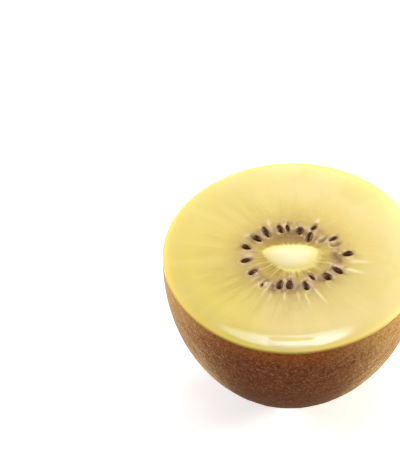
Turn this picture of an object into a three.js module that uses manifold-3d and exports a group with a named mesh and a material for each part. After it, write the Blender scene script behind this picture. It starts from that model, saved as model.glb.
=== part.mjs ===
// Half of a golden kiwi fruit, cut across its middle, cut face up, standing on its stem end.
//
// Millimetres, +Z up. The origin is the middle of the small flat spot that the half stands on,
// +Z is the fruit's own axis, and +X runs along the long way of the pale core in the cut face.
// Three tissues show at the cut: the thin brown skin, the golden flesh with its seeds, and the core.
import * as THREE from 'three';
import { mergeVertices } from 'three/addons/utils/BufferGeometryUtils.js';
import Module from 'manifold-3d';

// The half as a whole.
const HEIGHT = 37; // from the flat spot to the cut face
const CUT_RADIUS = 26; // half the width of the fruit at the cut
const FLANK_POWER = 2.33; // how long the sides stay steep below the cut
const END_POWER = 1.5; // how blunt the end is: 2 is an ellipse, and less is more pointed
const FULL_DEPTH = 38.4; // where the sides would meet if the end weren't flattened
const SHOULDER_RADIUS = 10; // from here the end turns smoothly into the flat spot
const FLAT_RADIUS = 5; // of the flat spot round the stem scar
const SWELLS = [[2, 0.005, 40], [4, 0.003, 75]]; // lobes round the fruit, share, bearing

// The skin and the flesh's edge.
const SKIN_THICKNESS = 0.6;
const CLEARANCE = 0.3; // between two tissues that touch in the fruit
const SKIN_DROP = 0.8; // the skin's cut edge lies this far below the cut face
const RIM_WIDTH = 4.2; // the flesh's edge rounds over on a quarter of an ellipse, this wide
const RIM_HEIGHT = 0.8; // and this high
const SKIN_AT_SCAR = 1.6; // the skin is this thick over the stem scar
const SCAR = [[0, 0.3], [1.7, 0.4], [2.2, 0.85], [2.8, 0.75], [3.6, 0]]; // radius, height: button, dimple

// The core: a spindle with a lens-shaped section.
const CORE_LENGTH_X = 12;
const CORE_WIDTH_Y = 6.5;
const CORE_DEPTH = 27;
const CORE_Y = -0.8; // the core, with the seeds round it, lies this far off the fruit's axis
const CORE_FULLNESS = 0.8; // 1 is a spindle along a sine, and less is fuller towards its end
const CORE_EDGE = { share: 0.75, height: 0.18 }; // the dome's edge: share of the width, and height
const CORE_DOME = 0.25; // the core stands this far out of the cut face
const LENS_POINT = 0.25; // 0 is an ellipse, and 1 comes to sharp points
const LENS_BOW = 1; // the lens is bent: its two points lie this far behind its middle

// The seeds, as they lie in the cut: bearing from +X in degrees, and distance from the core's middle.
const SEEDS = [
  [5, 11.5], [19, 9.6], [30, 9.9], [37, 8.0], [55, 6.6], [60, 9.3], [76, 7.4],
  [96, 7.8], [107, 7.9], [128, 8.7], [144, 8.6], [164, 9.7], [185, 9.4], [208, 9.0],
  [232, 9.5], [253, 7.7], [267, 7.5], [290, 8.3], [306, 7.0], [323, 9.3], [338, 10.1],
];
const SEED = { length: 2.2, width: 1.25, thickness: 1.1, taper: 0.5 };
const SEED_PROUD = 0.42; // how far a seed stands out of the cut face

// The walls between the seed chambers: low rays that run out from the core past the seeds.
const RAY = { from: 4.4, to: 15.6, width: 1, proud: 0.22 };
const RAY_SPACING = 9.5; // degrees between rays, about
const RAY_SINK = 0.5; // roots of the rays below the cut face
const RAY_VARIATION = 0.3; // share by which a ray is shorter than the longest
const RING_OVALITY = 0.82; // the rays' ring is wider along X than along Y

// Fineness of the meshes.
const TURN_STEPS = 72;
const FLANK_STEPS = 11;
const TOE_STEPS = 3;
const RIM_STEPS = 4;
const CORE_TURN_STEPS = 36;
const CORE_STEPS = 7;

const MERGE_DISTANCE = 1e-4; // corners closer than this are one corner

const wasm = await Module();
wasm.setup();

const radians = THREE.MathUtils.degToRad;

// The fruit's side as a curve of (radius, height), from a depth below the cut face to the shoulder.
class Flank extends THREE.Curve {
  constructor(fromDepth) {
    super();
    this.start = Math.asin((fromDepth / FULL_DEPTH) ** (FLANK_POWER / 2));
    this.end = Math.acos((SHOULDER_RADIUS / CUT_RADIUS) ** (END_POWER / 2));
  }

  getPoint(share) {
    const turn = THREE.MathUtils.lerp(this.start, this.end, share);
    return new THREE.Vector2(
      CUT_RADIUS * Math.cos(turn) ** (2 / END_POWER),
      HEIGHT - FULL_DEPTH * Math.sin(turn) ** (2 / FLANK_POWER),
    );
  }
}

// Points along a curve, moved inwards by a distance.
function pointsOf(curve, steps, inset) {
  return Array.from({ length: steps + 1 }, (_, i) => {
    const along = curve.getTangent(i / steps);
    return curve.getPoint(i / steps).addScaledVector(new THREE.Vector2(along.y, -along.x), inset);
  });
}

// Points down the fruit's outline, from a depth below the cut face to the edge of the flat spot.
function outline(fromDepth, inset = 0) {
  const side = new Flank(fromDepth);
  const shoulder = side.getPoint(1);
  const along = side.getTangent(1);
  const corner = shoulder.clone().addScaledVector(along, -shoulder.y / along.y);
  const toe = new THREE.QuadraticBezierCurve(shoulder, corner, new THREE.Vector2(FLAT_RADIUS, 0));
  return [
    ...pointsOf(side, FLANK_STEPS, inset),
    ...pointsOf(toe, TOE_STEPS, inset).slice(1),
  ];
}

// The fruit isn't quite round: a share by which the radius grows at a bearing.
function swell(bearing) {
  return SWELLS.reduce(
    (sum, [lobes, share, towards]) => sum + share * Math.cos(lobes * (bearing - radians(towards))),
    1,
  );
}

// Turns a profile of (radius, height) points about +Z, and gives it the fruit's own swelling section.
function turned(profile) {
  const geometry = new THREE.LatheGeometry(profile, TURN_STEPS).rotateX(Math.PI / 2);
  const position = geometry.getAttribute('position');
  for (let i = 0; i < position.count; i += 1) {
    const x = position.getX(i);
    const y = position.getY(i);
    const share = swell(Math.atan2(y, x));
    position.setXY(i, x * share, y * share);
  }
  return geometry;
}

// A closed geometry as a solid for cutting and joining.
function solid(geometry) {
  const bare = geometry.clone();
  bare.deleteAttribute('normal');
  bare.deleteAttribute('uv');
  const merged = mergeVertices(bare, MERGE_DISTANCE);
  const corners = merged.index.array;
  const triVerts = [];
  for (let i = 0; i < corners.length; i += 3) {
    const [a, b, c] = corners.slice(i, i + 3);
    if (a !== b && b !== c && c !== a) triVerts.push(a, b, c);
  }
  return new wasm.Manifold(new wasm.Mesh({
    numProp: 3,
    vertProperties: new Float32Array(merged.getAttribute('position').array),
    triVerts: new Uint32Array(triVerts),
  }));
}

// A solid as a geometry for a mesh.
function geometryOf(made) {
  const { vertProperties, triVerts } = made.getMesh();
  const geometry = new THREE.BufferGeometry();
  geometry.setAttribute('position', new THREE.BufferAttribute(vertProperties, 3));
  geometry.setIndex(new THREE.BufferAttribute(triVerts, 1));
  geometry.computeVertexNormals();
  return geometry;
}

// The skin: a thin cup that ends just below the cut face, with the stem scar in its flat spot.
function skin() {
  const outer = outline(SKIN_DROP);
  const inner = outline(SKIN_DROP, SKIN_THICKNESS)
    .map(({ x, y }) => new THREE.Vector2(x, Math.max(y, SKIN_AT_SCAR)));
  return solid(turned([
    ...SCAR.map(([radius, height]) => new THREE.Vector2(radius, height)),
    ...outer.reverse(),
    ...inner,
    new THREE.Vector2(0, SKIN_AT_SCAR),
  ]));
}

// The core's spindle, made fatter all round by a margin. Its profile holds shares of the core's width at the
// cut and heights, and the given points close it at the top.
function spindle(margin, topPoints) {
  const bottom = HEIGHT - CORE_DEPTH - margin;
  const profile = [new THREE.Vector2(0, bottom)];
  for (let i = 1; i <= CORE_STEPS; i += 1) {
    const share = i / CORE_STEPS;
    const width = Math.sin(share * Math.PI / 2) ** CORE_FULLNESS;
    profile.push(new THREE.Vector2(width, bottom + (HEIGHT - bottom) * share));
  }
  profile.push(...topPoints);
  const geometry = new THREE.LatheGeometry(profile, CORE_TURN_STEPS).rotateX(Math.PI / 2);
  const position = geometry.getAttribute('position');
  for (let i = 0; i < position.count; i += 1) {
    const share = Math.hypot(position.getX(i), position.getY(i));
    const towards = Math.atan2(position.getY(i), position.getX(i));
    const lens = Math.abs(Math.sin(towards)) ** LENS_POINT;
    const across = Math.sin(towards) * (lens * CORE_WIDTH_Y / 2 + margin);
    position.setXY(
      i,
      Math.cos(towards) * share * (CORE_LENGTH_X / 2 + margin),
      CORE_Y + share * (across + LENS_BOW * Math.cos(towards) ** 2),
    );
  }
  return solid(geometry);
}

// The core: its cut end stands a little out of the cut face.
function core() {
  return spindle(0, [
    new THREE.Vector2(CORE_EDGE.share, HEIGHT + CORE_EDGE.height),
    new THREE.Vector2(0, HEIGHT + CORE_DOME),
  ]);
}

// The hollow in the flesh that the core lies in, cut right through all that stands out of the cut face.
function coreHollow() {
  const top = HEIGHT + SEED.thickness;
  return spindle(CLEARANCE, [new THREE.Vector2(1, top), new THREE.Vector2(0, top)]);
}

// A small body, laid at a bearing and distance from the core's middle, with its length pointing there.
function laid(geometry, bearing, distance, height) {
  return solid(geometry
    .translate(distance, 0, height)
    .rotateZ(radians(bearing))
    .translate(0, CORE_Y, 0));
}

// A seed: an egg whose narrow end points at the core.
function seed([bearing, distance]) {
  const egg = new THREE.SphereGeometry(0.5, 8, 6).rotateZ(Math.PI / 2);
  const position = egg.getAttribute('position');
  for (let i = 0; i < position.count; i += 1) {
    const share = 1 + SEED.taper * position.getX(i);
    position.setY(i, position.getY(i) * share);
  }
  egg.scale(SEED.length, SEED.width, SEED.thickness);
  return laid(egg, bearing, distance, HEIGHT + SEED_PROUD - SEED.thickness / 2);
}

// Repeatable numbers from 0 to 1.
function drawer(start) {
  let state = start;
  return () => {
    state = (state * 16807) % 2147483647;
    return state / 2147483647;
  };
}

// A ray: the top of a long, sunk lens that starts at the core.
function ray(bearing, lengthShare) {
  const oval = Math.hypot(Math.cos(radians(bearing)), RING_OVALITY * Math.sin(radians(bearing)));
  const length = (RAY.to - RAY.from) * lengthShare * oval;
  const ridge = new THREE.SphereGeometry(0.5, 6, 4).rotateX(Math.PI / 2);
  ridge.scale(length, RAY.width, 2 * (RAY.proud + RAY_SINK));
  return laid(ridge, bearing, RAY.from * oval + length / 2, HEIGHT - RAY_SINK);
}

// The rays between one seed and the next, evenly spaced and of uneven length.
function rays() {
  const draw = drawer(2026);
  return SEEDS.flatMap(([bearing], i) => {
    const next = i + 1 < SEEDS.length ? SEEDS[i + 1][0] : SEEDS[0][0] + 360;
    const count = Math.round((next - bearing) / RAY_SPACING);
    return Array.from({ length: count }, (_, j) => (
      ray(bearing + (next - bearing) * ((j + 0.5) / count), 1 - RAY_VARIATION * draw())
    ));
  });
}

// The flesh's rounded edge, from above the skin's edge up to the cut face.
function rim() {
  const lowest = Math.asin(1 - (SKIN_DROP - CLEARANCE) / RIM_HEIGHT);
  return Array.from({ length: RIM_STEPS + 1 }, (_, i) => {
    const turn = THREE.MathUtils.lerp(lowest, Math.PI / 2, i / RIM_STEPS);
    return new THREE.Vector2(
      CUT_RADIUS - RIM_WIDTH * (1 - Math.cos(turn)),
      HEIGHT - RIM_HEIGHT * (1 - Math.sin(turn)),
    );
  });
}

// The flesh: fills the skin, rounds over above the skin's edge, and holds the seeds, rays and core.
function flesh() {
  const bottom = SKIN_AT_SCAR + CLEARANCE;
  const side = outline(SKIN_DROP - CLEARANCE, SKIN_THICKNESS + CLEARANCE)
    .map(({ x, y }) => new THREE.Vector2(x, Math.max(y, bottom)));
  const body = solid(turned([
    new THREE.Vector2(0, bottom),
    ...side.reverse(),
    ...rim(),
    new THREE.Vector2(0, HEIGHT),
  ]));
  return [...SEEDS.map(seed), ...rays()]
    .reduce((made, piece) => made.add(piece), body)
    .subtract(coreHollow());
}

function mesh(name, tissue, color, roughness) {
  const material = new THREE.MeshStandardMaterial({ color, roughness, metalness: 0 });
  const made = new THREE.Mesh(geometryOf(tissue), material);
  made.name = name;
  return made;
}

const kiwiHalf = new THREE.Group();
kiwiHalf.add(
  mesh('skin', skin(), 0x7a4e2c, 0.75),
  mesh('flesh', flesh(), 0xf0d877, 0.3),
  mesh('core', core(), 0xfdf0c4, 0.4),
);

export default kiwiHalf;
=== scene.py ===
"""Half a golden kiwi fruit, cut face up on its stem end: skin, stem scar, flesh, core and seeds."""
import math
from types import SimpleNamespace

import bpy
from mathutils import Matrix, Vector, noise


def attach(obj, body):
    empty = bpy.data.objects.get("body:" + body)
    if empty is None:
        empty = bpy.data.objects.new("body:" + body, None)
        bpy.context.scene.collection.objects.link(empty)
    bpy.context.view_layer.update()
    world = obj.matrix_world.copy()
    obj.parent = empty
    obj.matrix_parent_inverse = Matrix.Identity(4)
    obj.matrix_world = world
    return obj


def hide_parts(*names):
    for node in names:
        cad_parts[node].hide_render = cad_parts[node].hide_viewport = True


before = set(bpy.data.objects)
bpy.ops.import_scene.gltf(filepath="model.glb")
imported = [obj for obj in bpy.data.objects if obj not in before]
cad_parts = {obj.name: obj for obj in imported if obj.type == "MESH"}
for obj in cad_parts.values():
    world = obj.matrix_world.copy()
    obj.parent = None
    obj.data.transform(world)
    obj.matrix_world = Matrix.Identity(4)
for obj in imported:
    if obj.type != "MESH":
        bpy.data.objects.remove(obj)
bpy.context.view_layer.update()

# ---------------------------------------------------------------------------------------------
# SKIN
# A thin, leathery brown peel that grew on the flesh. The knife left its edge a little below the
# flesh's own. It is dry and matt, crowded with fine corky specks, and dimpled round the stem scar.
# ---------------------------------------------------------------------------------------------
MM = 0.001
HEIGHT = 37  # from the flat spot to the cut face, in millimetres, as all sizes in these sections
CUT_RADIUS = 26
FULL_DEPTH = 38.4  # the depth at which the curve of the side would meet the axis
FLANK_POWER = 2.33  # a higher one keeps the side upright for longer below the cut
END_POWER = 1.5  # a lower one makes the end more pointed
SHOULDER_RADIUS = 10  # where the side bends off towards the flat spot
FLAT_RADIUS = 5
SWELLS = [(2, 0.005, 40), (4, 0.003, 75)]  # lobes round the fruit, share, bearing in degrees
SKIN_DROP = 0.8  # how far its edge lies below the cut face
SKIN_THICKNESS = 0.5
SKIN_FLOOR = 1.5  # the height of its inside over the stem end
SKIN_TURN_STEPS = 480
EDGE_BEVEL = 0.2  # how far the outside of its edge is rounded off
EDGE_CROWN = 0.05  # how much higher the middle of its edge is
MERGE_GAP = 0.004  # points nearer to each other than this become one


def flank_point(turn):
    """A (radius, height) point of the fruit's side, by its turn from the cut towards the end."""
    return Vector((
        CUT_RADIUS * math.cos(turn) ** (2 / END_POWER),
        HEIGHT - FULL_DEPTH * math.sin(turn) ** (2 / FLANK_POWER),
    ))


def fruit_outline(from_depth, inset, side_steps, toe_steps):
    """Points down the fruit's side to the edge of its flat spot, moved inwards by inset."""
    start = math.asin((from_depth / FULL_DEPTH) ** (FLANK_POWER / 2))
    end = math.acos((SHOULDER_RADIUS / CUT_RADIUS) ** (END_POWER / 2))
    side = [flank_point(start + (end - start) * i / side_steps) for i in range(side_steps + 1)]
    shoulder = side[-1]
    just_before = flank_point(end - 0.001)
    along = shoulder - just_before
    corner = shoulder - along * (shoulder.y / along.y)
    flat = Vector((FLAT_RADIUS, 0))
    toe = []
    for i in range(1, toe_steps + 1):
        t = i / toe_steps
        toe.append(shoulder * (1 - t) ** 2 + corner * (2 * t * (1 - t)) + flat * t ** 2)
    points = side + toe
    moved = []
    for i, point in enumerate(points):
        tangent = (points[min(i + 1, len(points) - 1)] - points[max(i - 1, 0)]).normalized()
        moved.append(point + Vector((tangent.y, -tangent.x)) * inset)
    return moved


def spun(name, profile, steps):
    """A closed body: an outline extruded point by point from one vertex, then turned about Z."""
    bpy.ops.object.select_all(action="DESELECT")
    bpy.ops.mesh.primitive_plane_add(size=MM, location=(0, 0, 0))
    body = bpy.context.object
    body.name = body.data.name = name
    bpy.ops.object.mode_set(mode="EDIT")
    bpy.ops.mesh.merge(type="CENTER")
    start = Vector((profile[0][0], 0, profile[0][1]))
    bpy.ops.transform.translate(value=start * MM)
    for here, there in zip(profile, profile[1:]):
        step = Vector((there[0] - here[0], 0, there[1] - here[1]))
        bpy.ops.mesh.extrude_region_move(TRANSFORM_OT_translate={"value": step * MM})
    bpy.ops.object.mode_set(mode="OBJECT")
    turn = body.modifiers.new("turn", "SCREW")
    turn.steps = turn.render_steps = steps
    turn.use_merge_vertices = True
    turn.merge_threshold = MERGE_GAP * MM
    bpy.ops.object.modifier_apply(modifier="turn")
    bpy.ops.object.mode_set(mode="EDIT")
    bpy.ops.mesh.select_all(action="SELECT")
    bpy.ops.mesh.remove_doubles(threshold=MERGE_GAP * MM)
    bpy.ops.mesh.normals_make_consistent(inside=False)
    bpy.ops.object.mode_set(mode="OBJECT")
    bpy.ops.object.shade_smooth()
    return body


def swell(bearing):
    """The fruit isn't quite round: the share by which its radius grows at a bearing."""
    return 1 + sum(s * math.cos(n * (bearing - math.radians(at))) for n, s, at in SWELLS)


def make_uneven(body):
    """Gives a spun body the fruit's own swelling section."""
    for vertex in body.data.vertices:
        share = swell(math.atan2(vertex.co.y, vertex.co.x))
        vertex.co.x *= share
        vertex.co.y *= share


def roughen(body, size, height):
    """Displaces a body's surface by a cloud pattern of the given size and height."""
    clouds = bpy.data.textures.new(f"{body.name} lumps", "CLOUDS")
    clouds.noise_scale = size * MM
    clouds.noise_depth = 2
    lumps = body.modifiers.new("lumps", "DISPLACE")
    lumps.texture = clouds
    lumps.texture_coords = "LOCAL"
    lumps.strength = height * MM
    bpy.ops.object.select_all(action="DESELECT")
    bpy.context.view_layer.objects.active = body
    body.select_set(True)
    bpy.ops.object.modifier_apply(modifier="lumps")


skin_outside = fruit_outline(SKIN_DROP, 0, side_steps=120, toe_steps=20)
skin_inside = fruit_outline(SKIN_DROP, SKIN_THICKNESS, side_steps=24, toe_steps=6)
skin_outside[0] -= Vector((EDGE_BEVEL, 0))
edge_middle = (skin_outside[0] + skin_inside[0]) / 2 + Vector((0, EDGE_CROWN))
# A profile is a list of (radius, height) points. This one is the dimple round the stem scar.
scar_dimple = [(0, 0.9), (1.2, 0.9), (2.0, 0.95), (2.6, 0.8), (3.1, 0.45), (3.5, 0.12), (3.9, 0)]
skin_floor = [(1.5, SKIN_FLOOR), (0, SKIN_FLOOR)]
skin_profile = scar_dimple + skin_outside[::-1] + [edge_middle] + skin_inside + skin_floor
skin = spun("skin_peel", skin_profile, SKIN_TURN_STEPS)
make_uneven(skin)
roughen(skin, size=2.4, height=0.16)
roughen(skin, size=0.9, height=0.08)


def srgb(red, green, blue):
    """A colour given as 0 to 255 on a screen, as the shader wants it."""
    def linear(part):
        part /= 255
        return part / 12.92 if part <= 0.04045 else ((part + 0.055) / 1.055) ** 2.4
    return (linear(red), linear(green), linear(blue), 1)


def node(tree, kind, inputs=None, **settings):
    """Adds one shader node, with its settings and with its inputs set to values or linked."""
    made = tree.nodes.new(kind)
    for key, value in settings.items():
        setattr(made, key, value)
    for key, value in (inputs or {}).items():
        if isinstance(value, bpy.types.NodeSocket):
            tree.links.new(value, made.inputs[key])
        else:
            made.inputs[key].default_value = value
    return made


def maths(tree, operation, *values):
    """One Math node's output."""
    return node(tree, "ShaderNodeMath", dict(enumerate(values)), operation=operation).outputs[0]


def product(tree, value, *others):
    """Several values multiplied together."""
    for other in others:
        value = maths(tree, "MULTIPLY", value, other)
    return value


def vector_maths(tree, operation, *values, output=0):
    """One Vector Math node's output."""
    made = node(tree, "ShaderNodeVectorMath", dict(enumerate(values)), operation=operation)
    return made.outputs[output]


def scaled(tree, vector, factor):
    """A vector made longer by a factor."""
    made = node(tree, "ShaderNodeVectorMath", {0: vector, "Scale": factor}, operation="SCALE")
    return made.outputs[0]


def blend(tree, share, first, second, how="MIX"):
    """A mix of two colours by a share."""
    mix = node(tree, "ShaderNodeMix", {0: share, 6: first, 7: second}, data_type="RGBA",
               blend_type=how)
    return mix.outputs[2]


def tint(tree, colour, paint, share, most=1):
    """Mixes a paint into a colour by a share, and by no more than the amount given."""
    return blend(tree, product(tree, share, most), colour, paint)


def fade(tree, value, none, full):
    """0 where the value is at none or past it, 1 at full or past it, and smooth between them."""
    ramp = node(tree, "ShaderNodeMapRange", {"Value": value, "From Min": none, "From Max": full},
                interpolation_type="SMOOTHSTEP")
    return ramp.outputs[0]


def cloudy(tree, where, scale, detail, roughness=0.5):
    """A cloud pattern of values round a half. The higher its scale, the smaller its clouds."""
    settings = {"Vector": where, "Scale": scale, "Detail": detail, "Roughness": roughness}
    return node(tree, "ShaderNodeTexNoise", settings).outputs[0]


def speckled(tree, where, size, middle, edge):
    """Scattered round specks: 1 in the middle of a speck, and 0 from its edge on."""
    cells = node(tree, "ShaderNodeTexVoronoi", {"Vector": where, "Scale": 1 / size})
    return maths(tree, "SUBTRACT", 1, fade(tree, cells.outputs["Distance"], middle, edge))


def bumpy(tree, shader, pattern, height, strength=1):
    """Gives a shader bumps that follow a pattern, as high as given."""
    settings = {"Height": pattern, "Distance": height * MM, "Strength": strength}
    tree.links.new(node(tree, "ShaderNodeBump", settings).outputs[0], shader.inputs["Normal"])


def new_material(name):
    """A material with its node tree, and its Principled shader."""
    material = bpy.data.materials.new(name)
    material.use_nodes = True
    return material, material.node_tree, material.node_tree.nodes["Principled BSDF"]


def set_finish(shader, **values):
    """Sets a shader's own sockets: Coat_Weight stands for Coat Weight."""
    for key, value in values.items():
        shader.inputs[key.replace("_", " ")].default_value = value


def place(tree):
    """The piece's own coordinates, in millimetres."""
    return scaled(tree, node(tree, "ShaderNodeTexCoord").outputs["Object"], 1 / MM)


SKIN_PAINTS = {
    "dark patch": srgb(103, 55, 27),
    "light patch": srgb(115, 63, 31),
    "painted glow under the cut": srgb(150, 80, 26),
    "stem end": srgb(42, 17, 6),
    "side": srgb(150, 98, 54),
    "thin": srgb(176, 146, 84),
    "grain": srgb(60, 27, 12),
    "mottle": srgb(66, 34, 19),
    "speck": srgb(152, 108, 74),
    "speck in painted shade": srgb(112, 72, 47),
    "fuzz": srgb(255, 222, 165),
}


def skin_material():
    """Matt brown peel: grainy and mottled, with corky specks and a soft sheen of fuzz."""
    material, tree, shader = new_material("brown kiwi peel")
    where = place(tree)
    across, _, height = node(tree, "ShaderNodeSeparateXYZ", {0: where}).outputs
    aside = maths(tree, "ABSOLUTE", maths(tree, "ADD", across, 4))
    patches = cloudy(tree, where, scale=0.28, detail=4)
    grain = cloudy(tree, where, scale=2.2, detail=5, roughness=0.7)
    picked = cloudy(tree, where, scale=1.3, detail=4)
    light = fade(tree, patches, 0.35, 0.65)
    colour = blend(tree, light, SKIN_PAINTS["dark patch"], SKIN_PAINTS["light patch"])
    # Painted light and shade: a warm glow under the cut, darker towards the stem end, paler sides.
    top = HEIGHT - SKIN_DROP
    # The warm band under the cut is a painted glow, as of light coming through the edge.
    colour = tint(tree, colour, SKIN_PAINTS["painted glow under the cut"], fade(tree, height, top - 6, top), 0.85)
    # Painted shade: darker towards the stem end.
    stem_end_shade = fade(tree, height, 31, 18)
    colour = tint(tree, colour, SKIN_PAINTS["stem end"], stem_end_shade, 0.44)
    # Painted light: both sides are paler than the front.
    colour = tint(tree, colour, SKIN_PAINTS["side"], fade(tree, aside, 3, 14), 0.28)
    # High up on both sides, ragged patches of painted sheen stand for light the fuzz catches.
    ragged = maths(tree, "MULTIPLY_ADD", patches, 16, maths(tree, "SUBTRACT", height, 8))
    thin = product(tree, fade(tree, ragged, 18, 42), fade(tree, aside, 9, 24))
    colour = tint(tree, colour, SKIN_PAINTS["thin"], thin, 0.8)
    colour = tint(tree, colour, SKIN_PAINTS["grain"], fade(tree, grain, 0.44, 0.6), 0.55)
    mottle = product(tree, fade(tree, picked, 0.52, 0.38), fade(tree, aside, 34, 8),
                     fade(tree, height, 38, 30))
    colour = tint(tree, colour, SKIN_PAINTS["mottle"], mottle, 0.45)
    specks = product(tree, speckled(tree, where, 0.42, 0.16, 0.6), fade(tree, picked, 0.36, 0.64))
    # The specks are darker too in the painted shade towards the stem end.
    cork = blend(tree, stem_end_shade, SKIN_PAINTS["speck"], SKIN_PAINTS["speck in painted shade"])
    colour = tint(tree, colour, cork, specks, 0.75)
    tree.links.new(colour, shader.inputs["Base Color"])
    on_sides = fade(tree, maths(tree, "ABSOLUTE", across), 5, 17)
    fuzz = product(tree, maths(tree, "MULTIPLY_ADD", on_sides, 0.7, 0.3), fade(tree, height, 4, 30))
    tree.links.new(fuzz, shader.inputs["Sheen Weight"])
    relief = maths(tree, "ADD", product(tree, specks, 0.5), product(tree, grain, 0.8))
    bumpy(tree, shader, relief, height=0.12, strength=0.8)
    set_finish(shader, Roughness=0.7, Sheen_Roughness=0.22, Sheen_Tint=SKIN_PAINTS["fuzz"],
               Specular_IOR_Level=0.03)
    return material


skin.data.materials.append(skin_material())
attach(skin, "root")
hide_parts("skin")

# ---------------------------------------------------------------------------------------------
# STEM SCAR
# The small woody button where the fruit hung on its stalk, dry and cracked, in the dimple at the
# end that the half stands on. It is part of the fruit, and grew into the skin.
# ---------------------------------------------------------------------------------------------
SCAR_RADIUS = 2.1
SCAR_FIBRES = 5
SCAR_RELIEF = 0.12
SCAR_RAGGEDNESS = 0.06
SCAR_TURN_STEPS = 72
scar_profile = [(0, 0.3), (0.5, 0.26), (0.9, 0.38), (1.35, 0.32), (1.75, 0.4), (2.0, 0.62),
                (SCAR_RADIUS, 1.0), (1.6, 1.3), (0, 1.3)]
scar = spun("stem_scar", scar_profile, SCAR_TURN_STEPS)
for vertex in scar.data.vertices:
    bearing = math.atan2(vertex.co.y, vertex.co.x)
    reach = math.hypot(vertex.co.x, vertex.co.y) / (SCAR_RADIUS * MM)
    around = (math.cos(bearing) * SCAR_FIBRES, math.sin(bearing) * SCAR_FIBRES)
    fibres = noise.noise(Vector((*around, reach)))
    vertex.co.z += SCAR_RELIEF * MM * fibres * reach
    vertex.co.x *= 1 + SCAR_RAGGEDNESS * fibres
    vertex.co.y *= 1 + SCAR_RAGGEDNESS * fibres


def scar_material():
    """Dry wood, darker where its bumps sink."""
    material, tree, shader = new_material("dry woody scar")
    fibres = cloudy(tree, place(tree), scale=2.2, detail=6, roughness=0.75)
    sunk, ridge = srgb(52, 34, 22), srgb(128, 98, 66)
    colour = blend(tree, fade(tree, fibres, 0.35, 0.65), sunk, ridge)
    tree.links.new(colour, shader.inputs["Base Color"])
    bumpy(tree, shader, fibres, height=0.2)
    set_finish(shader, Roughness=0.85, Specular_IOR_Level=0.2)
    return material


scar.data.materials.append(scar_material())
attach(scar, "root")

# ---------------------------------------------------------------------------------------------
# FLESH
# The golden fruit wall, moist and a little translucent. Its cut edge swells over the skin's.
# Round the core lie the seed chambers: clear pulp between pale walls that run out like rays.
# ---------------------------------------------------------------------------------------------
SEEDS = [  # bearing from +X, distance from the core's middle, length, width, turn, share that shows
    (4, 11.2, 2.2, 1.25, 9, 1.0), (20, 9.4, 2.0, 0.9, 0, 0.3), (30, 9.7, 2.0, 0.85, 9, 0.8),
    (36, 7.6, 1.9, 0.8, 3, 0.25), (56, 6.5, 2.8, 0.95, 20, 1.0), (60, 9.1, 2.0, 0.9, -6, 0.6),
    (76, 7.2, 2.2, 1.45, 0, 0.9), (95, 7.8, 2.8, 0.9, 4, 0.6), (106, 7.9, 2.4, 1.2, 4, 0.9),
    (127, 8.5, 3.1, 1.0, -15, 1.0), (144, 8.4, 2.1, 1.25, -9, 1.0), (164, 9.4, 1.9, 1.1, -8, 1.0),
    (186, 9.1, 2.4, 1.1, 15, 0.85), (208, 8.8, 2.2, 1.1, 14, 0.9), (232, 9.3, 1.8, 0.9, 0, 0.5),
    (252, 7.8, 2.8, 1.2, 2, 0.9), (266, 7.4, 2.9, 1.55, 0, 0.8), (289, 8.3, 2.5, 1.2, -4, 1.0),
    (305, 6.8, 2.1, 0.95, 0, 0.6), (323, 8.8, 2.3, 1.5, -22, 0.95), (338, 9.8, 2.7, 1.15, -20, 1.0),
]
MEMBRANES = [  # bearing and distance of one end, and of the other, width, strength
    (8, 10.2, 7, 11.2, 0.3, 0.8), (10, 8.2, 11, 10.2, 0.3, 0.5), (15, 8.8, 14, 9.8, 0.35, 0.5),
    (25, 8.6, 25, 10.0, 0.5, 0.8), (41, 6.8, 40, 9.2, 0.35, 0.8), (35, 6.4, 43, 6.9, 0.25, 0.5),
    (50, 7.0, 57, 8.9, 0.3, 0.8), (60, 10.2, 62, 12.2, 0.4, 1), (66, 7.2, 66, 9.8, 0.3, 0.4),
    (71, 8.6, 81, 8.8, 0.22, 0.6), (86, 8.2, 86, 10.0, 0.25, 0.4), (98, 8.4, 96, 10.2, 0.3, 0.7),
    (101, 7.6, 102, 10.0, 0.3, 0.6), (112, 7.2, 109, 10.0, 0.3, 0.5),
    (118, 9.0, 115, 11.6, 0.4, 0.8), (121, 7.4, 118, 9.8, 0.35, 0.7),
    (137, 7.0, 133, 9.8, 0.4, 0.6), (144, 10.2, 152, 11.2, 0.35, 0.9),
    (155, 9.0, 154, 11.4, 0.25, 0.5), (171, 8.4, 171, 10.8, 0.25, 0.5),
    (175, 7.4, 175, 11.0, 0.2, 0.7), (179, 7.8, 180, 10.0, 0.5, 1), (193, 7.8, 194, 10.8, 0.3, 0.5),
    (200, 7.6, 200, 10.0, 0.25, 0.4), (213, 8.0, 214, 9.6, 0.4, 0.9),
    (219, 8.2, 219, 11.0, 0.3, 0.6), (228, 8.4, 227, 12.0, 0.3, 0.6), (234, 8.3, 237, 10.2, 0.5, 1),
    (239, 7.2, 240, 13.2, 0.25, 0.9), (247, 10.2, 248, 13.4, 0.3, 0.5),
    (256, 6.2, 256, 7.6, 0.35, 0.8), (259, 6.4, 259, 10.0, 0.3, 0.8),
    (261, 9.4, 262, 12.8, 0.25, 0.8), (272, 6.0, 273, 9.4, 0.3, 0.5),
    (276, 9.2, 276, 13.2, 0.25, 0.5), (283, 7.0, 284, 10.0, 0.3, 0.5),
    (284, 9.8, 284, 14.4, 0.25, 0.7), (294, 7.2, 296, 10.0, 0.5, 0.9),
    (299, 6.4, 300, 8.4, 0.35, 0.9), (296, 9.2, 298, 15.0, 0.3, 0.9),
    (314, 9.4, 311, 12.0, 0.2, 0.4), (330, 7.8, 329, 9.8, 0.35, 0.8),
    (333, 8.4, 331, 11.8, 0.2, 0.4), (345, 8.2, 342, 11.4, 0.4, 1), (342, 10.6, 342, 15.8, 0.4, 1),
    (347, 6.8, 345, 9.4, 0.2, 0.8), (353, 11.2, 354, 16.4, 0.5, 0.9),
    (357, 10.8, 357, 12.6, 0.4, 0.6),
]
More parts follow.
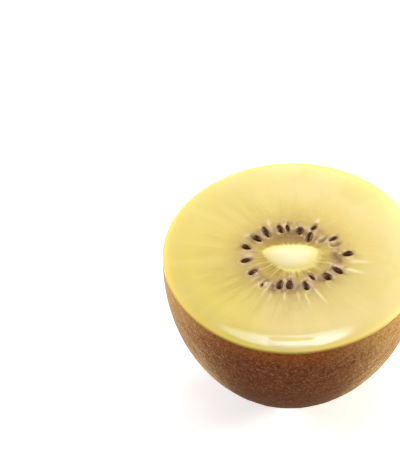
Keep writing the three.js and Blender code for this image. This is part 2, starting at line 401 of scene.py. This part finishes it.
SHADES = [  # bearing, distance, size, strength of the dark pulp beside and under some seeds
    (357, 9.2, 1.1, 0.9), (351, 9.8, 0.6, 0.7), (4, 8.6, 0.8, 0.7), (12, 9.4, 0.6, 0.5),
    (19, 9.4, 0.7, 0.8), (36, 7.6, 0.7, 0.6), (46, 6.4, 0.7, 0.5), (60, 9.8, 0.5, 0.6),
    (63, 7.2, 0.7, 0.5), (75, 5.6, 1.0, 0.5), (86, 7.2, 0.6, 0.8), (89, 5.6, 1.0, 0.5),
    (101, 6.2, 0.9, 0.6), (114, 5.6, 0.8, 0.5), (122, 7.6, 0.5, 0.5), (135, 7.6, 0.6, 0.5),
    (145, 9.4, 0.8, 0.9), (152, 8.4, 0.7, 0.6), (187, 9.2, 0.9, 0.5), (226, 9.0, 0.5, 0.4),
    (233, 9.2, 0.8, 0.6), (244, 8.8, 1.0, 0.9), (248, 10.2, 0.7, 0.7), (256, 9.4, 0.7, 0.6),
    (262, 9.6, 0.7, 0.6), (269, 9.6, 0.7, 0.4), (303, 7.2, 0.6, 0.5), (314, 9.0, 0.7, 0.7),
    (327, 8.2, 0.5, 0.4), (335, 10.4, 0.8, 0.6), (344, 11.2, 0.35, 0.7),
]
CORE_LENGTH_X = 12
CORE_WIDTH_Y = 6.5
CORE_MIDDLE = Vector((-0.2, -0.8))  # the core, with the seeds round it, lies off the fruit's axis
LENS_POINT = 0.25  # a higher one makes the ends of the core's section more pointed
LENS_BOW = 1  # how far those ends lie towards the back
RIM_WIDTH = 6  # of the rounded edge of the cut
RIM_HEIGHT = 0.92
# The faint ridge in the front of that edge: the radius it starts from, the lengths over which it
# rises and falls, its height, its middle along X, and how far it reaches to either side.
LIP = {"radius": 22.5, "rise": 1, "fall": 2.6, "height": 0.1, "middle": -0.5, "reach": 4.7}
FLESH_OVERHANG = 0.15  # how far the rounded edge comes down past the skin's own
FLESH_INSET = 0.35  # its side lies this far inside the skin's outside, grown into the skin
FLESH_FLOOR = 1.4
FLESH_TURN_STEPS = 540
FACE_STEPS = [(13.4, 14), (4, 72)]  # down to this radius, in this many steps
RIM_STEPS = 60
POCKET_RADIUS = FACE_STEPS[-1][0]
POCKET_DEPTH = 1.2
POCKET_SHARE = 0.93  # the core's rounded edge laps over the pocket's
SLACK = 0.01  # for rounding, where heights and radii are compared
OFF_FACE = 20  # what "out" says where the surface is no part of the cut face
RELIEF_REACH = 12  # farther out from the core the cut is flat
WALL_RISE = 0.045
SOCKET_DEPTH = 0.16
GRAIN_RISE = 0.01
GRAIN_FINENESS = 1.6
SEED_REACH = 3.5  # farther from its middle a seed has no pull
SOCKET_MARGIN = 0.3  # how far round a seed its socket reaches at the ends
HALO_MARGIN = 0.25  # how far the dark pulp does
HALO_STRENGTH = 0.8
SIDE_MARGIN = 0.6  # the share of a margin that is left at a seed's sides
LINING_WIDTH = 0.22
LINING_STRENGTH = 0.7
LINING_PATCHES_FROM = Vector((3, 5, 7))
WAVE_FINENESS = 0.8  # of the waves that membranes and linings follow
MEMBRANE_WANDER = 0.12


def lens_point(bearing):
    """The place on the core's edge at a bearing from its middle."""
    across = math.sin(bearing) * abs(math.sin(bearing)) ** LENS_POINT * CORE_WIDTH_Y / 2
    along = math.cos(bearing) * CORE_LENGTH_X / 2
    return CORE_MIDDLE + Vector((along, across + LENS_BOW * math.cos(bearing) ** 2))


def on_face(bearing, distance):
    """The place on the cut face at a bearing, in degrees, and distance from the core's middle."""
    heading = math.radians(bearing)
    return CORE_MIDDLE + Vector((math.cos(heading), math.sin(heading))) * distance


rim = []
flesh_drop = SKIN_DROP + FLESH_OVERHANG
lowest = math.asin(1 - flesh_drop / RIM_HEIGHT)
for i in range(RIM_STEPS + 1):
    turn = lowest + (math.pi / 2 - lowest) * i / RIM_STEPS
    rim.append((
        CUT_RADIUS - RIM_WIDTH * (1 - math.cos(turn)),
        HEIGHT - RIM_HEIGHT * (1 - math.sin(turn)),
    ))
face_edge = rim[-1][0]
face = []
edge = face_edge
for radius, steps in FACE_STEPS:
    face += [(edge + (radius - edge) * i / steps, HEIGHT) for i in range(1, steps + 1)]
    edge = radius
flesh_side = fruit_outline(flesh_drop, FLESH_INSET, side_steps=12, toe_steps=3)
flesh_side = [(x, max(y, FLESH_FLOOR)) for x, y in flesh_side]
pocket = [(POCKET_RADIUS, HEIGHT - POCKET_DEPTH / 2), (POCKET_RADIUS, HEIGHT - POCKET_DEPTH),
          (0, HEIGHT - POCKET_DEPTH)]
flesh_profile = [(0, FLESH_FLOOR)] + flesh_side[::-1] + rim + face + pocket
flesh = spun("golden_flesh", flesh_profile, FLESH_TURN_STEPS)


def seed_gaps(spot, past_ends, past_sides):
    """How far a place on the face is from each seed near it: 0 in its middle, 1 at its edge.

    The edge is moved out past the seed's ends and past its sides by the two amounts.
    """
    for bearing, distance, length, width, turn, _ in SEEDS:
        offset = spot - on_face(bearing, distance)
        if offset.length > SEED_REACH:
            continue
        heading = math.radians(bearing + turn)
        along = offset.x * math.cos(heading) + offset.y * math.sin(heading)
        across = offset.y * math.cos(heading) - offset.x * math.sin(heading)
        yield math.hypot(along / (length / 2 + past_ends), across / (width / 2 + past_sides))


def seed_pull(spot, margin):
    """How near a place on the face is to the closest seed: 1 at a seed, falling off round it."""
    gaps = seed_gaps(spot, margin, margin * SIDE_MARGIN)
    return max((math.exp(-gap ** 4) for gap in gaps), default=0)


def lining_pull(spot):
    """How near a place on the face is to the pale skin that lines a seed's chamber, in patches."""
    gaps = seed_gaps(spot, past_ends=0.45, past_sides=0.4)
    best = max((math.exp(-((gap - 1) / LINING_WIDTH) ** 2) for gap in gaps), default=0)
    patchy = noise.noise((spot * WAVE_FINENESS).to_3d() + LINING_PATCHES_FROM)
    return best * min(LINING_STRENGTH, max(0, 0.05 + 1.8 * patchy))


def membrane_pull(spot):
    """How near a place on the face is to a pale membrane between two seed chambers."""
    waves = (spot * WAVE_FINENESS).to_3d()
    wander = Vector((noise.noise(waves), noise.noise(waves + Vector((9, 9, 9)))))
    here = spot + wander * MEMBRANE_WANDER
    best = 0
    for from_bearing, from_distance, to_bearing, to_distance, width, strength in MEMBRANES:
        start = on_face(from_bearing, from_distance)
        span = on_face(to_bearing, to_distance) - start
        share = (here - start).dot(span) / span.length_squared
        if not 0 < share < 1:
            continue
        gap = (here - start - span * share).length
        ends = min(1, (1 - share) * 2, share * 5)
        best = max(best, strength * ends * math.exp(-(gap / width) ** 2))
    return best


def shade_pull(spot):
    """How dark the pulp is at a place on the face, by the dark places beside some seeds."""
    total = 0
    for bearing, distance, size, strength in SHADES:
        gap = (spot - on_face(bearing, distance)).length / size
        total += strength * math.exp(-gap ** 2)
    streaky = noise.noise(Vector((spot.x * 1.7, spot.y * 1.7, math.atan2(spot.y, spot.x) * 9)))
    return min(1, total * (1 + 0.9 * streaky))


def smooth(share):
    """0 up to 0, 1 from 1 on, and smooth between them."""
    share = min(1, max(0, share))
    return share * share * (3 - 2 * share)


def lip_rise(spot):
    """The height of the faint ridge in the rounded edge, in front of the core."""
    rise = smooth((spot.length - LIP["radius"]) / LIP["rise"])
    fall = smooth((spot.length - LIP["radius"] - LIP["rise"]) / LIP["fall"])
    aside = (spot.x - LIP["middle"]) / LIP["reach"]
    return LIP["height"] * rise * (1 - fall) * max(0, 1 - aside ** 2)


# Each point of the flesh is marked with how far out from the core it lies, how dark the pulp is
# there, and how much of a pale wall it is. The colours go by these marks.
halos = flesh.data.attributes.new("halo", "FLOAT", "POINT")
walls = flesh.data.attributes.new("wall", "FLOAT", "POINT")
outs = flesh.data.attributes.new("out", "FLOAT", "POINT")
for vertex in flesh.data.vertices:
    spot = vertex.co.to_2d() / MM
    bearing = math.atan2(spot.y, spot.x)
    depth = HEIGHT - vertex.co.z / MM
    pocket_edge = CORE_MIDDLE + (lens_point(bearing) - CORE_MIDDLE) * POCKET_SHARE
    if spot.length > face_edge + SLACK or depth > POCKET_DEPTH + SLACK:
        outs.data[vertex.index].value = OFF_FACE
        if depth < RIM_HEIGHT and spot.y < 0:
            vertex.co.z += lip_rise(spot) * MM
        continue
    if spot.length <= POCKET_RADIUS + SLACK:
        spot = CORE_MIDDLE + (pocket_edge - CORE_MIDDLE) * (spot.length / POCKET_RADIUS)
    else:
        share = (face_edge - spot.length) / (face_edge - POCKET_RADIUS)
        circle = Vector((math.cos(bearing), math.sin(bearing))) * POCKET_RADIUS
        spot = spot + (pocket_edge - circle) * share
    vertex.co.x, vertex.co.y = spot * MM
    out = (spot - pocket_edge).length
    outs.data[vertex.index].value = out
    if depth > SLACK or out > RELIEF_REACH:
        continue
    wall = max(membrane_pull(spot), lining_pull(spot))
    socket = seed_pull(spot, SOCKET_MARGIN)
    halo = max(seed_pull(spot, HALO_MARGIN) * HALO_STRENGTH, shade_pull(spot))
    halos.data[vertex.index].value = halo
    walls.data[vertex.index].value = wall
    grain = noise.noise(spot.to_3d() * GRAIN_FINENESS)
    vertex.co.z += MM * (WALL_RISE * wall - SOCKET_DEPTH * socket * (1 - wall)
                         + GRAIN_RISE * grain)
make_uneven(flesh)


def radial_grain():
    """A pattern of streaks that run out from the axis, as fibres in a cut fruit do."""
    group = bpy.data.node_groups.new("radial grain", "ShaderNodeTree")
    group.interface.new_socket("Place", in_out="INPUT", socket_type="NodeSocketVector")
    group.interface.new_socket("Round", in_out="INPUT", socket_type="NodeSocketFloat")
    group.interface.new_socket("Along", in_out="INPUT", socket_type="NodeSocketFloat")
    group.interface.new_socket("Streak", in_out="OUTPUT", socket_type="NodeSocketFloat")
    inward = node(group, "NodeGroupInput").outputs
    flat = vector_maths(group, "MULTIPLY", inward["Place"], (1, 1, 0))
    radius = vector_maths(group, "LENGTH", flat, output=1)
    around = scaled(group, vector_maths(group, "NORMALIZE", flat), inward["Round"])
    out = node(group, "ShaderNodeCombineXYZ", {"Z": product(group, radius, inward["Along"])})
    where = vector_maths(group, "ADD", around, out.outputs[0])
    fibres = cloudy(group, where, scale=1, detail=3, roughness=0.6)
    node(group, "NodeGroupOutput", {"Streak": fibres})
    return group


streak_group = radial_grain()
BROAD_STREAKS = (6, 0.06)  # how closely they lie side by side, and how soon they change outwards
FINE_STREAKS = (15, 0.14)


def streaks(tree, where, around, along):
    """The radial grain group's output."""
    made = node(tree, "ShaderNodeGroup", node_tree=streak_group)
    tree.links.new(where, made.inputs["Place"])
    made.inputs["Round"].default_value = around
    made.inputs["Along"].default_value = along
    return made.outputs["Streak"]


def mark(tree, name):
    """A value that the mesh's own points carry, by its name."""
    return node(tree, "ShaderNodeAttribute", attribute_name=name).outputs["Fac"]


def cut_place(tree):
    """The place on the piece, in millimetres from the core's middle, and the fine streaks there."""
    where = vector_maths(tree, "SUBTRACT", place(tree), (*CORE_MIDDLE, 0))
    x, y, z = node(tree, "ShaderNodeSeparateXYZ", {0: where}).outputs
    fine = streaks(tree, where, *FINE_STREAKS)
    return SimpleNamespace(where=where, x=x, y=y, z=z, fine=fine)


def towards(tree, at, direction):
    """How far a place lies in a direction across the cut."""
    return maths(tree, "ADD", product(tree, at.x, direction[0]), product(tree, at.y, direction[1]))


FLESH_PAINTS = {
    "golden": srgb(226, 201, 96),
    "pale side": srgb(234, 213, 140),
    "palest side": srgb(240, 219, 148),
    "front": srgb(232, 209, 142),
    "clouds": srgb(229, 203, 116),
    "light streaks": srgb(238, 216, 130),
    "olive streaks": srgb(208, 184, 84),
    "deep golden": srgb(224, 196, 110),
    "shade": srgb(237, 236, 240),
    "pulp": srgb(194, 165, 98),
    "pulp in front": srgb(182, 149, 88),
    "dusk": srgb(160, 124, 84),
    "ring": srgb(174, 143, 62),
    "ring behind": srgb(164, 130, 66),
    "ring at the tips": srgb(190, 160, 84),
    "rays": srgb(222, 196, 112),
    "halo": srgb(134, 94, 68),
    "lining": srgb(219, 192, 166),
    "membrane": srgb(240, 222, 168),
    "fringe": srgb(230, 210, 128),
    "edge, painted shade on the left": srgb(232, 200, 92),
    "edge": srgb(252, 221, 98),
    "foot": srgb(148, 104, 34),
}
PALE_SIDE = (0.77, 0.64)
FRAYED_CORNER = (-0.74, -0.67)


def wall_colour(tree, at):
    """The wall of the fruit: golden, paler on one side, with streaks that run outwards."""
    clouds = cloudy(tree, at.where, scale=0.13, detail=3)
    broad = streaks(tree, at.where, *BROAD_STREAKS)
    side = towards(tree, at, PALE_SIDE)
    pale = fade(tree, side, -22, 18)
    colour = blend(tree, pale, FLESH_PAINTS["golden"], FLESH_PAINTS["pale side"])
    colour = tint(tree, colour, FLESH_PAINTS["palest side"], fade(tree, side, 2, 26))
    front = product(tree, fade(tree, at.y, -5, -15), fade(tree, at.x, -11, -3))
    colour = tint(tree, colour, FLESH_PAINTS["front"], front, 0.75)
    colour = tint(tree, colour, FLESH_PAINTS["clouds"], fade(tree, clouds, 0.4, 0.62), 0.5)
    colour = tint(tree, colour, FLESH_PAINTS["light streaks"], fade(tree, broad, 0.42, 0.8), 0.5)
    olive = product(tree, fade(tree, broad, 0.54, 0.4), fade(tree, at.out, 17, 8),
                    fade(tree, at.x, 10, -10))
    colour = tint(tree, colour, FLESH_PAINTS["olive streaks"], olive, 0.75)
    inner = product(tree, fade(tree, at.out, 16, 6), fade(tree, at.y, -14, 2))
    return tint(tree, colour, FLESH_PAINTS["deep golden"], inner, 0.8)


def add_pulp(tree, at, colour):
    """In front of the core it is a little darker, and round the seeds duller, with dark spots."""
    flat = vector_maths(tree, "MULTIPLY", at.where, (1, 1, 0))
    away = vector_maths(tree, "LENGTH", flat, output=1)
    in_front = product(tree, fade(tree, at.y, 3, -6), fade(tree, away, 23, 9))
    colour = blend(tree, in_front, colour, FLESH_PAINTS["shade"], "MULTIPLY")
    spots = cloudy(tree, at.where, scale=0.6, detail=4)
    uneven = maths(tree, "ADD", at.out, product(tree, spots, 3))
    uneven = maths(tree, "ADD", uneven, product(tree, at.aside, 0.2))
    pulp = blend(tree, in_front, FLESH_PAINTS["pulp"], FLESH_PAINTS["pulp in front"])
    colour = tint(tree, colour, pulp, fade(tree, uneven, 14, 6.5), 0.8)
    dusk = product(tree, fade(tree, away, 6.6, 8), fade(tree, away, 10.4, 9),
                   fade(tree, spots, 0.38, 0.62))
    return tint(tree, colour, FLESH_PAINTS["dusk"], dusk, 0.6)


def add_ring(tree, at, colour):
    """Between core and seeds it is olive, browner behind the core, with fine rays in front."""
    rear = fade(tree, at.y, 1, 5)
    ring = fade(tree, maths(tree, "SUBTRACT", at.out, product(tree, rear, 0.8)), 5, 1.6)
    murk = blend(tree, rear, FLESH_PAINTS["ring"], FLESH_PAINTS["ring behind"])
    murk = tint(tree, murk, FLESH_PAINTS["ring at the tips"], fade(tree, at.aside, 4, 7))
    colour = tint(tree, colour, murk, ring, 0.9)
    rays = product(tree, fade(tree, at.fine, 0.48, 0.58), ring, fade(tree, at.y, 5, -1))
    return tint(tree, colour, FLESH_PAINTS["rays"], rays, 0.6)


def add_chambers(tree, at, colour):
    """Dark pulp lies beside the seeds, between pale membranes and linings."""
    colour = tint(tree, colour, FLESH_PAINTS["halo"], mark(tree, "halo"), 0.85)
    outer = fade(tree, at.out, 4.5, 8)
    cream = blend(tree, outer, FLESH_PAINTS["lining"], FLESH_PAINTS["membrane"])
    return tint(tree, colour, cream, mark(tree, "wall"), 0.85)


def add_fringe(tree, at, colour):
    """The core's yellow fringe is ragged, widest in front of it and narrow at one corner."""
    in_front = fade(tree, at.y, 1, -3)
    spill = maths(tree, "SUBTRACT", at.out, product(tree, in_front, 0.9))
    spill = maths(tree, "SUBTRACT", spill, product(tree, at.fine, 1.6))
    corner = fade(tree, towards(tree, at, FRAYED_CORNER), 3.3, 4.3)
    spill = maths(tree, "ADD", spill, product(tree, corner, 0.7))
    return tint(tree, colour, FLESH_PAINTS["fringe"], fade(tree, spill, 0.1, -1.1))


def add_edge(tree, at, colour):
    """The rounded edge is a deeper yellow, with painted shade at its left and at its foot."""
    # The painted shade and the deeper yellow fade out towards the right side.
    edge_shade_share = fade(tree, at.x, 22, 6)
    low = product(tree, fade(tree, at.z, HEIGHT - 0.25, HEIGHT - 0.6), edge_shade_share)
    # Painted shade: the edge is darker on the left.
    yellow = blend(tree, fade(tree, at.x, -20, -9), FLESH_PAINTS["edge, painted shade on the left"], FLESH_PAINTS["edge"])
    colour = tint(tree, colour, yellow, low, 0.8)
    # Painted shade at the foot, where the edge meets the skin, weaker on the right.
    foot = product(tree, fade(tree, at.z, HEIGHT - 0.55, HEIGHT - 0.85),
                   maths(tree, "MULTIPLY_ADD", edge_shade_share, 0.5, 0.45))
    return tint(tree, colour, FLESH_PAINTS["foot"], foot)


def flesh_material():
    """Moist flesh that lets some light through, and is glossy outside the ring of seeds."""
    material, tree, shader = new_material("moist golden flesh")
    at = cut_place(tree)
    at.aside = maths(tree, "ABSOLUTE", at.x)
    at.out = mark(tree, "out")
    colour = wall_colour(tree, at)
    for add_next in (add_pulp, add_ring, add_chambers, add_fringe, add_edge):
        colour = add_next(tree, at, colour)
    tree.links.new(colour, shader.inputs["Base Color"])
    gloss = product(tree, fade(tree, at.out, 6, 13), fade(tree, at.z, HEIGHT - 0.6, HEIGHT - 0.35))
    coat = maths(tree, "MULTIPLY_ADD", gloss, 0.7, 0.1)
    tree.links.new(coat, shader.inputs["Coat Weight"])
    bumpy(tree, shader, cloudy(tree, at.where, scale=1.1, detail=4), height=0.02, strength=0.3)
    set_finish(shader, Roughness=0.55, Specular_IOR_Level=0.2, Subsurface_Weight=0.25,
               Subsurface_Scale=0.5 * MM, Subsurface_Radius=(3, 2.2, 0.9), Coat_Roughness=0.1)
    return material


flesh.data.materials.append(flesh_material())
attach(flesh, "root")
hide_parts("flesh")

# ---------------------------------------------------------------------------------------------
# CORE
# The pale, firm pith in the middle of the fruit, lens-shaped where it is cut. It is opaque and
# finely fibrous, brightest in its middle, and grows into the flesh with a yellow fringe.
# ---------------------------------------------------------------------------------------------
CORE_DEPTH = 27
CORE_SHOULDER = 0.5  # how far below the cut its tapering side ends
CORE_TAPER = 0.8  # a lower one makes the side fuller
CORE_DOME = 0.25
CORE_LAP = 1.05  # its top reaches out a little over the flesh
CORE_SIDE_STEPS = 12
CORE_TOP_STEPS = 28
CORE_TURN_STEPS = 240
CORE_SPUN_RADIUS = 4  # it is spun round at first, then drawn out to its lens shape
core_profile = [(0, HEIGHT - CORE_DEPTH)]
for i in range(1, CORE_SIDE_STEPS + 1):
    share = i / CORE_SIDE_STEPS
    core_profile.append((
        math.sin(share * math.pi / 2) ** CORE_TAPER,
        HEIGHT - CORE_DEPTH + (CORE_DEPTH - CORE_SHOULDER) * share,
    ))
for i in range(CORE_TOP_STEPS + 1):
    share = CORE_LAP * (1 - i / CORE_TOP_STEPS)
    core_profile.append((share, HEIGHT + CORE_DOME * (1 - share ** 2)))
core_profile = [(share * CORE_SPUN_RADIUS, height) for share, height in core_profile]
core = spun("pale_core", core_profile, CORE_TURN_STEPS)
edges = core.data.attributes.new("edge", "FLOAT", "POINT")
for vertex in core.data.vertices:
    share = math.hypot(vertex.co.x, vertex.co.y) / (CORE_SPUN_RADIUS * MM)
    bearing = math.atan2(vertex.co.y, vertex.co.x)
    vertex.co.x, vertex.co.y = (CORE_MIDDLE + (lens_point(bearing) - CORE_MIDDLE) * share) * MM
    edges.data[vertex.index].value = share
make_uneven(core)
CORE_PAINTS = {
    "cream": srgb(242, 229, 184),
    "yellow": srgb(236, 217, 138),
    "fringe behind": srgb(204, 177, 92),
    "fringe": srgb(224, 202, 122),
    "frayed corner": srgb(206, 180, 98),
}


def core_material():
    """Cream pith, yellow towards its edge, with a frayed fringe."""
    material, tree, shader = new_material("cream core")
    at = cut_place(tree)
    edge = mark(tree, "edge")
    colour = blend(tree, fade(tree, edge, 0.4, 0.95), CORE_PAINTS["cream"], CORE_PAINTS["yellow"])
    from_middle = maths(tree, "ABSOLUTE", maths(tree, "ADD", at.x, 0.5))
    tips = fade(tree, from_middle, 4.8, 6.5)
    frayed = maths(tree, "SUBTRACT", edge, product(tree, at.fine, 0.5))
    frayed = maths(tree, "ADD", frayed, product(tree, tips, 0.3))
    in_front = fade(tree, at.y, 1, -2)
    fringe = blend(tree, in_front, CORE_PAINTS["fringe behind"], CORE_PAINTS["fringe"])
    colour = tint(tree, colour, fringe, fade(tree, frayed, 0.62, 0.92), 0.85)
    # One corner of the lens is frayed away into the flesh.
    corner = maths(tree, "SUBTRACT", towards(tree, at, FRAYED_CORNER), product(tree, at.fine, 1.2))
    colour = tint(tree, colour, CORE_PAINTS["frayed corner"], fade(tree, corner, 2.7, 4.1), 0.8)
    tree.links.new(colour, shader.inputs["Base Color"])
    bumpy(tree, shader, at.fine, height=0.03)
    set_finish(shader, Roughness=0.5, Specular_IOR_Level=0.2, Subsurface_Weight=0.25,
               Subsurface_Scale=0.5 * MM, Subsurface_Radius=(2, 1.6, 1.0))
    return material


core.data.materials.append(core_material())
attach(core, "root")
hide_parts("core")

# ---------------------------------------------------------------------------------------------
# SEEDS
# Small, hard, dark and glossy, each in its own chamber with the narrow end towards the core.
# The knife went between them, so some lie deep in the pulp, and each stands out a different bit.
# ---------------------------------------------------------------------------------------------
SEED_FLATNESS = 0.75  # a seed's thickness, as a share of its width
SEED_SUNK = 0.62  # with a share of 0, a seed's top would lie this part of its thickness deep
SEED_TAPER = 0.55  # how much its width grows along its whole length
SEED_POINT_FROM = 0.2  # its point starts this part of its length behind its middle,
SEED_POINT = 0.5  # and there its width grows by so much more
SEED_SEGMENTS = 28
SEED_RINGS = 18


def seed_material():
    """A brown coat with finer pits and paler patches."""
    material, tree, shader = new_material("dark seed coat")
    where = place(tree)
    patches = fade(tree, cloudy(tree, where, scale=1.7, detail=3), 0.4, 0.65)
    dark, brown = srgb(52, 22, 2), srgb(92, 52, 22)
    tree.links.new(blend(tree, patches, dark, brown), shader.inputs["Base Color"])
    pits = node(tree, "ShaderNodeTexVoronoi", {"Vector": where, "Scale": 5})
    bumpy(tree, shader, pits.outputs["Distance"], height=0.06)
    set_finish(shader, Roughness=0.42, Specular_IOR_Level=0.1)
    return material


bpy.ops.object.select_all(action="DESELECT")
bpy.ops.mesh.primitive_uv_sphere_add(segments=SEED_SEGMENTS, ring_count=SEED_RINGS,
                                     radius=0.5 * MM)
first_seed = bpy.context.object
for vertex in first_seed.data.vertices:
    x, y, z = vertex.co / MM
    share = 1 + SEED_TAPER * x - SEED_POINT * max(0, -x - SEED_POINT_FROM)
    vertex.co = Vector((x, y * share, z * share)) * MM
bpy.ops.object.shade_smooth()
first_seed.data.materials.append(seed_material())
for count, (bearing, distance, length, width, turn, shows) in enumerate(SEEDS, 1):
    seed = first_seed.copy()
    seed.data = first_seed.data.copy()
    seed.name = seed.data.name = f"seed_{count:02d}"
    bpy.context.collection.objects.link(seed)
    heading = math.radians(bearing + turn)
    thickness = width * SEED_FLATNESS
    top = HEIGHT + (shows - SEED_SUNK) * thickness
    middle = on_face(bearing, distance) * swell(math.radians(bearing))
    for vertex in seed.data.vertices:
        x, y, z = vertex.co.x * length, vertex.co.y * width, vertex.co.z * thickness
        vertex.co = Vector((
            middle.x * MM + x * math.cos(heading) - y * math.sin(heading),
            middle.y * MM + x * math.sin(heading) + y * math.cos(heading),
            (top - thickness / 2) * MM + z,
        ))
    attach(seed, "root")
bpy.data.objects.remove(first_seed)

# ---------------------------------------------------------------------------------------------
# FLOOR, LIGHT AND CAMERA
# A plain white table, a soft light above and one on either side, and two behind that give the
# wet front edge of the cut its gloss.
# ---------------------------------------------------------------------------------------------
FLOOR_SIZE = 3
bpy.ops.object.select_all(action="DESELECT")
bpy.ops.mesh.primitive_plane_add(size=FLOOR_SIZE, location=(0, 0, 0))
floor = bpy.context.object
floor.name = "floor"
floor_paint, _, floor_shader = new_material("plain white table")
set_finish(floor_shader, Base_Color=(0.93, 0.93, 0.93, 1), Roughness=0.9, Specular_IOR_Level=0,
           Emission_Color=(1, 1, 1, 1), Emission_Strength=0.45)
floor.data.materials.append(floor_paint)
WHITE = (1, 1, 1)
COOL = (0.8, 0.88, 1)
WARM = (1, 0.98, 0.8)
WORLD_STRENGTH = 0.34


def soft_light(name, where, size, power, colour):
    """An oval area light that faces the middle of the cut."""
    lamp = bpy.data.lights.new(name, "AREA")
    lamp.shape = "ELLIPSE"
    lamp.color = colour
    lamp.size, lamp.size_y = size
    lamp.energy = power
    held = bpy.data.objects.new(name, lamp)
    bpy.context.collection.objects.link(held)
    held.location = where
    aim = Vector((0, 0, HEIGHT * MM)) - held.location
    held.rotation_euler = aim.to_track_quat("-Z", "Y").to_euler()


soft_light("above", (0, -0.05, 0.7), (0.5, 0.4), 1.18, WHITE)
soft_light("behind", (0.001, 0.279, 0.668), (0.235, 0.205), 0.84, COOL)
soft_light("behind, middle", (0.029, 0.261, 0.676), (0.135, 0.31), 0.7, COOL)
soft_light("left", (-0.5, 0.32, 0.085), (0.25, 0.12), 5.9, WHITE)
soft_light("right", (0.555, 0.24, 0.09), (0.3, 0.12), 9.8, WARM)
world = bpy.data.worlds.new("studio")
world.use_nodes = True
world.node_tree.nodes["Background"].inputs["Color"].default_value = (*WHITE, 1)
world.node_tree.nodes["Background"].inputs["Strength"].default_value = WORLD_STRENGTH
bpy.context.scene.world = world
bpy.context.scene.view_settings.view_transform = "Standard"

FRAME_WIDTH, FRAME_HEIGHT = 400, 457  # pixels
CAMERA_DISTANCE = 800
CAMERA_ELEVATION = 46.85
CAMERA_FOCAL = 3995  # pixels
FACE_PIXEL = (292.6, 253.5)  # where the middle of the cut face lies in the frame
SENSOR_SIZE = 36
optics = bpy.data.cameras.new("camera")
camera = bpy.data.objects.new("camera", optics)
bpy.context.collection.objects.link(camera)
optics.sensor_width = SENSOR_SIZE
optics.lens = CAMERA_FOCAL / FRAME_HEIGHT * SENSOR_SIZE
optics.clip_start, optics.clip_end = 0.05, 10
tilt = math.radians(CAMERA_ELEVATION)
back = Vector((0, -math.cos(tilt), math.sin(tilt)))
up = Vector((0, math.sin(tilt), math.cos(tilt)))
pixel = CAMERA_DISTANCE / CAMERA_FOCAL
aim = Vector((0, 0, HEIGHT)) - Vector((FACE_PIXEL[0] - FRAME_WIDTH / 2, 0, 0)) * pixel
aim += up * (FACE_PIXEL[1] - FRAME_HEIGHT / 2) * pixel
camera.location = (aim + back * CAMERA_DISTANCE) * MM
camera.rotation_euler = (math.radians(90 - CAMERA_ELEVATION), 0, 0)
bpy.context.scene.camera = camera
